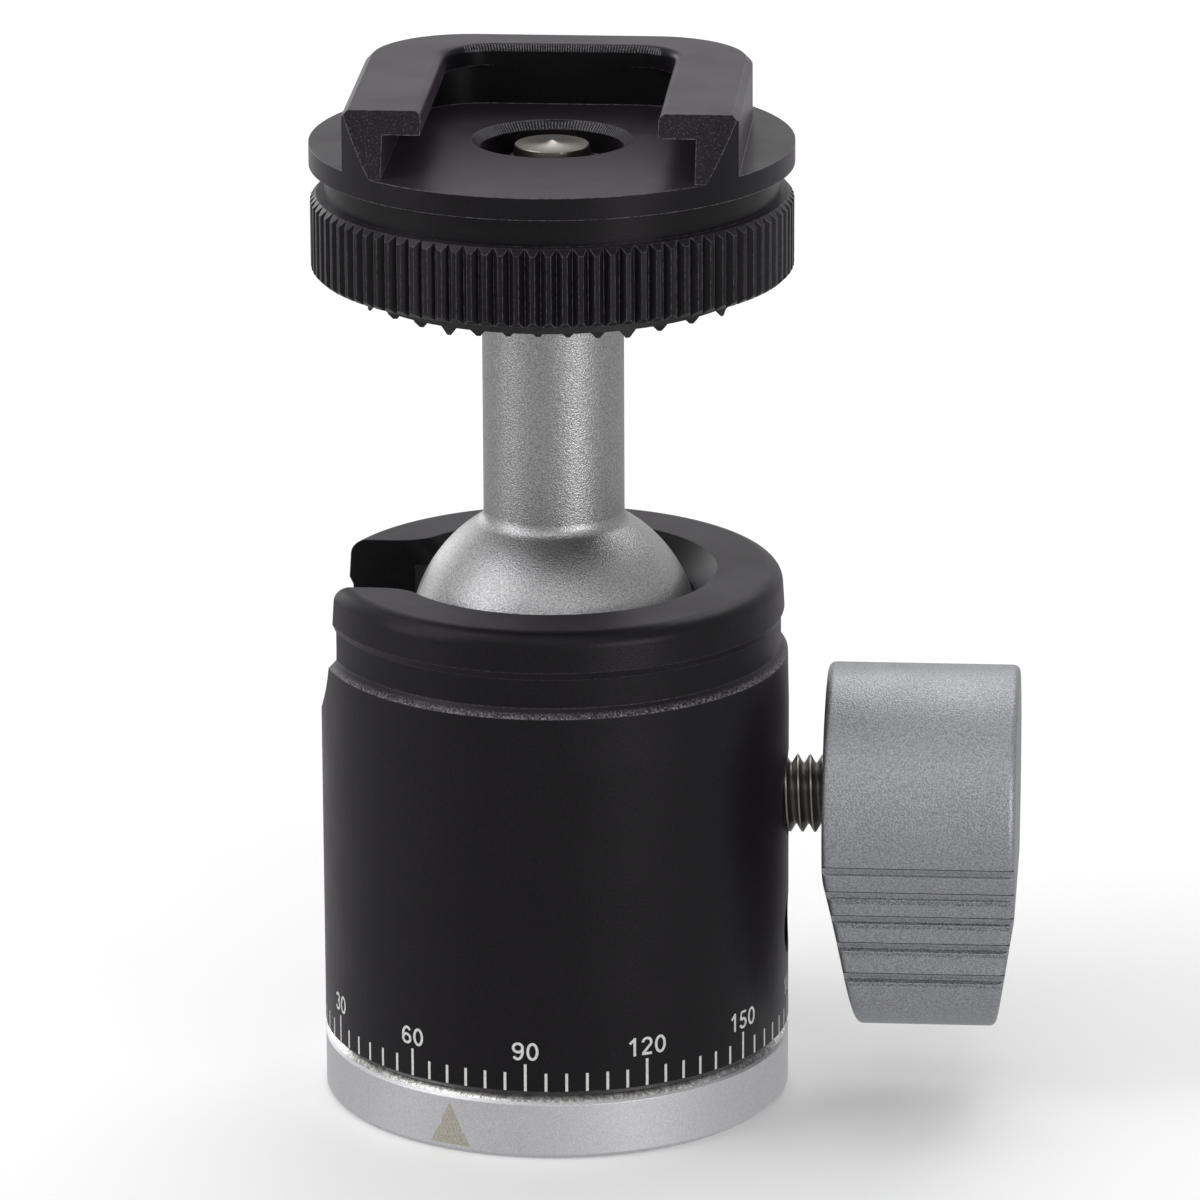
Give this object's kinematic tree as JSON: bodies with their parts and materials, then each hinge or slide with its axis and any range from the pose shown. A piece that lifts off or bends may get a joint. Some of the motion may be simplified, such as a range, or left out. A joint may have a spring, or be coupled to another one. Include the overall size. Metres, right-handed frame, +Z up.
{
  "type": "tripod ball head",
  "caption": "Small ball head with a notched round housing on a turning base, a winged clamp knob, and a knurled lock wheel under a shoe socket on its stem.",
  "frame": {"origin": "centre of the base's underside, at the mouth of the tripod thread", "axes": "+Z up along the body's axis, +X towards the clamp knob, -Y the side the shoe socket is entered from, -X the drop notch"},
  "size_m": [0.0451, 0.0306, 0.0667],
  "materials": {
    "base_silver": "bead-blasted, clear anodised, with a bright turned edge",
    "body_black": "fine blasted, black anodised",
    "stem_grey": "bead-blasted, grey anodised",
    "knob_grey": "bead-blasted, grey anodised",
    "steel": "turned stainless steel",
    "brass": "turned",
    "piston_metal": "turned, plain",
    "seat_plastic": "black acetal",
    "washer_plastic": "natural acetal",
    "pad_rubber": "moulded, pyramid pattern"
  },
  "bodies": {
    "base": {"base_plate": "base_silver", "pan_washer": "washer_plastic", "spring_washer": "steel"},
    "housing": {"housing": "body_black", "seat_ring": "seat_plastic", "set_screw": "steel", "nylon_tip": "washer_plastic", "disc_springs": "steel"},
    "piston": {"pressure_piston": "piston_metal", "guide_pin": "steel"},
    "friction_cup": {"friction_cup": "washer_plastic"},
    "ball": {"ball_stem": "stem_grey", "top_stud": "steel"},
    "lock_wheel": {"lock_wheel": "body_black", "rubber_pad": "pad_rubber"},
    "shoe": {"shoe_socket": "body_black"},
    "thrust_pin": {"thrust_pin": "brass"},
    "knob": {"knob": "knob_grey", "clamp_screw": "steel"}
  },
  "joints": [
    {"name": "pan", "type": "hinge", "parent": "base", "child": "housing", "pos_m": [0, 0, 0], "axis": [0, 0, 1], "continuous": true},
    {"name": "swing", "type": "hinge", "parent": "housing", "child": "friction_cup", "pos_m": [0, 0, 0.03], "axis": [1, 0, 0], "range_deg": [-28, 28]},
    {"name": "tilt", "type": "hinge", "parent": "friction_cup", "child": "ball", "pos_m": [0, 0, 0.03], "axis": [0, -1, 0], "range_deg": [-28, 90]},
    {"name": "wheel_turn", "type": "hinge", "parent": "ball", "child": "lock_wheel", "pos_m": [0, 0, 0.0545], "axis": [0, 0, 1], "range_deg": [-140, 0]},
    {"name": "shoe_turn", "type": "hinge", "parent": "ball", "child": "shoe", "pos_m": [0, 0, 0.06], "axis": [0, 0, 1], "continuous": true},
    {"name": "screw_feed", "type": "slide", "parent": "housing", "child": "thrust_pin", "axis": [1, 0, 0], "range_m": [0, 0.0012]},
    {"name": "knob_turn", "type": "hinge", "parent": "thrust_pin", "child": "knob", "pos_m": [0.0235, 0, 0.0198], "axis": [1, 0, 0], "range_deg": [0, 540]},
    {"name": "piston_drop", "type": "slide", "parent": "housing", "child": "piston", "axis": [0, 0, 1], "range_m": [-0.0007, 0], "deforming": ["disc_springs"]}
  ],
  "couplings": [
    {"joint": "knob_turn", "follows": "screw_feed", "rad_per_m": 7854},
    {"joint": "piston_drop", "follows": "screw_feed", "ratio": -0.57735}
  ]
}
